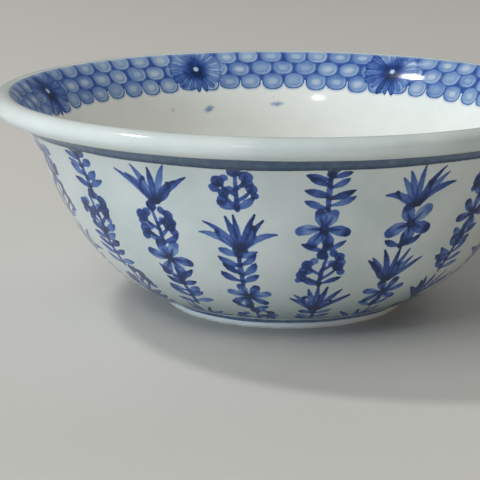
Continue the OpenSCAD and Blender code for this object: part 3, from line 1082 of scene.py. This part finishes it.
class BOWL_OT_foot(bpy.types.Operator):
    """Turns the glaze on the foot ring, its painted line, and the glaze in the well"""

    bl_idname = "bowl.foot"
    bl_label = "Foot glaze"

    def execute(self, context):
        painting = context.scene.bowl_painting
        s = BowlSection(context.scene.bowl_size)
        glaze = s.size["glaze"]
        # The foot and the well take the inside's lighter glaze colour: painted light that
        # brightens the shaded foot
        clear = finish("foot glaze", lambda: glazed(
            "Thin white glaze on the foot", painting, inside=True))
        slate = finish("cobalt line", lambda: glazed(
            "Cobalt line under clear glaze", painting, SLATE, wander=0.25))
        outer, bare, tall = s.foot_r, s.size["bare"], s.size["foot_height"]
        line_z = tall - FOOT_LINE
        # The glaze ends above the bare clay in a rounded, slightly thickened bead
        bead = [[outer - glaze + 0.02, bare]] + [
            [outer - glaze / 2 + glaze / 2 * math.cos(a), bare + 0.22 + 0.22 * math.sin(a)]
            for a in np.radians(np.linspace(-90, 0, 8))]
        front = even(np.array(bead + [[outer, line_z]]), 0.2)
        back = np.array([[outer - glaze, bare], [outer - glaze, line_z]])
        mesh = turned("foot_glaze_ring", front, back, 0.0, columns=480)
        unrolled_map(mesh, 0.0, 2 * math.pi, folds=16)
        placed("foot_glaze_ring", mesh, clear, "clear_glaze", "foot_glaze")
        # Glaze runs into the corner under the wall and rounds it
        cove = 0.8
        corner = [[outer + cove * (1 - math.cos(a)), tall - cove + 0.08 + cove * math.sin(a)]
                  for a in np.radians(np.linspace(0, 84, 9))]
        front = even(np.array([[outer, line_z]] + corner), 0.2)
        back = np.array([[outer - glaze, line_z], [outer - glaze, tall + 0.2],
                         [outer + cove, tall + 0.24]])
        mesh = turned("foot_line_ring", front, back, 0.0, columns=1080)
        along = numbers(mesh, "along").astype(float)
        _, angle = places(mesh)
        wander = 0.12 * np.sin(4 * angle + 0.6) + 0.08 * np.sin(11 * angle)
        stroke = along - 0.15 - wander
        tone = 0.62 + 0.10 * np.sin(2 * angle + 1) + 0.08 * soft(along, 0.8, 1.8)
        paint(mesh, stroke, tone)
        unrolled_map(mesh, 0.0, 2 * math.pi, folds=20)
        placed("foot_line_ring", mesh, slate, "cobalt_line", "foot_line")
        # The well: up the foot's inner face, round a cove and across to the middle
        inner = outer - s.size["foot_width"] - glaze
        roof, round_r = s.size["well"], 1.6
        corner = [[inner - round_r * (1 - math.cos(a)), roof - round_r + round_r * math.sin(a)]
                  for a in np.radians(np.linspace(0, 90, 10))]
        path = np.array([[inner + glaze - 0.02, bare], [inner + 0.06, bare + 0.08],
                         [inner, bare + 0.3]] + corner + [[0, roof]])
        front = even(path, 0.5)
        front = np.delete(front, -2, 0)
        back = np.array([[inner + glaze, bare], [inner + glaze, roof - 0.1],
                         [inner + glaze, roof + glaze], [0, roof + glaze]])
        mesh = turned("well_glaze_disc", front, even(back, 3.0, ends=False), 0.0, columns=320)
        flat_map(mesh)
        placed("well_glaze_disc", mesh, clear, "clear_glaze", "well_glaze")
        return {"FINISHED"}


AIM = 0.05  # m above the table: the height that every light points at
CAMERA_PLACE = (0, -0.66006, 0.18904)  # m
CAMERA_TURN = (14.0614, -1.64527, 0.24682)  # degrees down, to the right and of roll


class BOWL_OT_stage(bpy.types.Operator):
    """Adds the floor, the soft studio lights and the camera"""

    bl_idname = "bowl.stage"
    bl_label = "Stage"

    def execute(self, context):
        scene = context.scene
        stage = scene.bowl_stage
        bm = bmesh.new()
        bmesh.ops.create_grid(bm, x_segments=4, y_segments=4, size=5.0)
        mesh = bpy.data.meshes.new("floor")
        bm.to_mesh(mesh)
        bm.free()
        material, tree = new_material("Matt studio paper")
        coords = add_node(tree, "ShaderNodeTexCoord").outputs["Object"]
        grain = add_node(tree, "ShaderNodeTexNoise",
                         {"Vector": coords, "Scale": 1 / (4 * MM), "Detail": 3.0})
        bump = add_node(tree, "ShaderNodeBump", {"Height": grain.outputs["Fac"],
                                                 "Strength": 0.05, "Distance": 0.1 * MM})
        shader = add_node(tree, "ShaderNodeBsdfPrincipled",
                          {"Base Color": rgba(stage.floor_colour), "Roughness": 0.85,
                           "Normal": bump.outputs["Normal"]})
        add_node(tree, "ShaderNodeOutputMaterial", {"Surface": shader.outputs["BSDF"]})
        mesh.materials.append(material)
        floor = bpy.data.objects.new("floor", mesh)
        scene.collection.objects.link(floor)

        world = bpy.data.worlds.new("Room")
        world.use_nodes = True
        world.node_tree.nodes.clear()
        sky = add_node(world.node_tree, "ShaderNodeBackground",
                       {"Color": rgba(stage.sky_colour), "Strength": stage.sky_strength})
        add_node(world.node_tree, "ShaderNodeOutputWorld",
                 {"Surface": sky.outputs["Background"]})
        scene.world = world

        # Name, bearing from the front, height angle, distance, size, watts, colour, and
        # whether the glaze mirrors it. Only the two small windows show in the glaze, so
        # that its highlights stay crisp.
        for name, bearing, rise, away, size, watts, colour, mirrored in (
            ("key_soft", -50, 44, 2.0, (1.3, 1.1), 15.0, "#FFFCF5", False),
            ("glint", -19, 42, 2.0, (0.16, 0.07), 1.2, "#FFFFFF", True),
            ("window_left", -97, 57, 2.0, (0.2, 0.14), 11.0, "#FFFFFF", True),
            ("low_left", -62, 14, 2.0, (0.9, 0.5), 10.0, "#CFE8FF", False),
            ("foot_light", -18, 5, 1.6, (0.8, 0.3), 4.0, "#D4E8FF", False),
            ("warm_right", 78, 16, 2.0, (0.9, 0.6), 1.6, "#FFD7A0", False),
            ("soft_behind", -150, 18, 2.0, (0.9, 0.7), 4.0, "#FFFFFF", False),
            ("fill_behind", 140, 30, 2.2, (1.5, 1.1), 9.0, "#FFFFFF", False),
        ):
            light = bpy.data.lights.new(name, "AREA")
            light.shape = "RECTANGLE"
            light.size, light.size_y = size
            light.energy = watts
            light.color = linear(colour)
            lamp = bpy.data.objects.new(name, light)
            lamp.visible_glossy = mirrored
            b, e = math.radians(bearing), math.radians(rise)
            lamp.location = (away * math.sin(b) * math.cos(e),
                             -away * math.cos(b) * math.cos(e), away * math.sin(e) + AIM)
            aim = Vector((0, 0, AIM)) - lamp.location
            lamp.rotation_euler = aim.to_track_quat("-Z", "Y").to_euler()
            scene.collection.objects.link(lamp)

        camera = bpy.data.cameras.new("camera")
        camera.lens = stage.lens
        camera.sensor_width = 36
        camera.clip_end = 50
        view = bpy.data.objects.new("camera", camera)
        pitch, yaw, roll = (math.radians(v) for v in CAMERA_TURN)
        ahead = Vector((math.sin(yaw) * math.cos(pitch), math.cos(yaw) * math.cos(pitch),
                        -math.sin(pitch)))
        right = Vector((math.cos(yaw), -math.sin(yaw), 0))
        up = right.cross(ahead)
        side = math.cos(roll) * right + math.sin(roll) * up
        top = -math.sin(roll) * right + math.cos(roll) * up
        turn = Matrix((side, top, -ahead)).transposed().to_4x4()
        view.matrix_world = Matrix.Translation(CAMERA_PLACE) @ turn
        scene.collection.objects.link(view)
        scene.camera = view
        scene.view_settings.view_transform = "Standard"
        return {"FINISHED"}


class BOWL_PT_panel(bpy.types.Panel):
    """Lists the steps that make the bowl"""

    bl_idname = "BOWL_PT_panel"
    bl_label = "Porcelain Bowl"
    bl_space_type = "VIEW_3D"
    bl_region_type = "UI"
    bl_category = "Bowl"

    def draw(self, context):
        for step in STEPS:
            self.layout.operator(step.bl_idname)
        for group in ("bowl_size", "bowl_painting", "bowl_stage"):
            box = self.layout.box()
            props = getattr(context.scene, group)
            for name in props.__annotations__:
                box.prop(props, name)


STEPS = (BOWL_OT_stage, BOWL_OT_clay, BOWL_OT_outside, BOWL_OT_lip, BOWL_OT_band,
         BOWL_OT_inside, BOWL_OT_foot)
GROUPS = {"bowl_size": BowlSize, "bowl_painting": BowlPainting, "bowl_stage": BowlStage}


def register():
    for cls in (*GROUPS.values(), *STEPS, BOWL_PT_panel):
        bpy.utils.register_class(cls)
    for name, group in GROUPS.items():
        setattr(bpy.types.Scene, name, bpy.props.PointerProperty(type=group))


def unregister():
    for name in GROUPS:
        delattr(bpy.types.Scene, name)
    for cls in (BOWL_PT_panel, *reversed(STEPS), *reversed(GROUPS.values())):
        bpy.utils.unregister_class(cls)


def main():
    register()
    for step in STEPS:
        group, name = step.bl_idname.split(".")
        getattr(getattr(bpy.ops, group), name)()


if __name__ == "__main__":
    main()
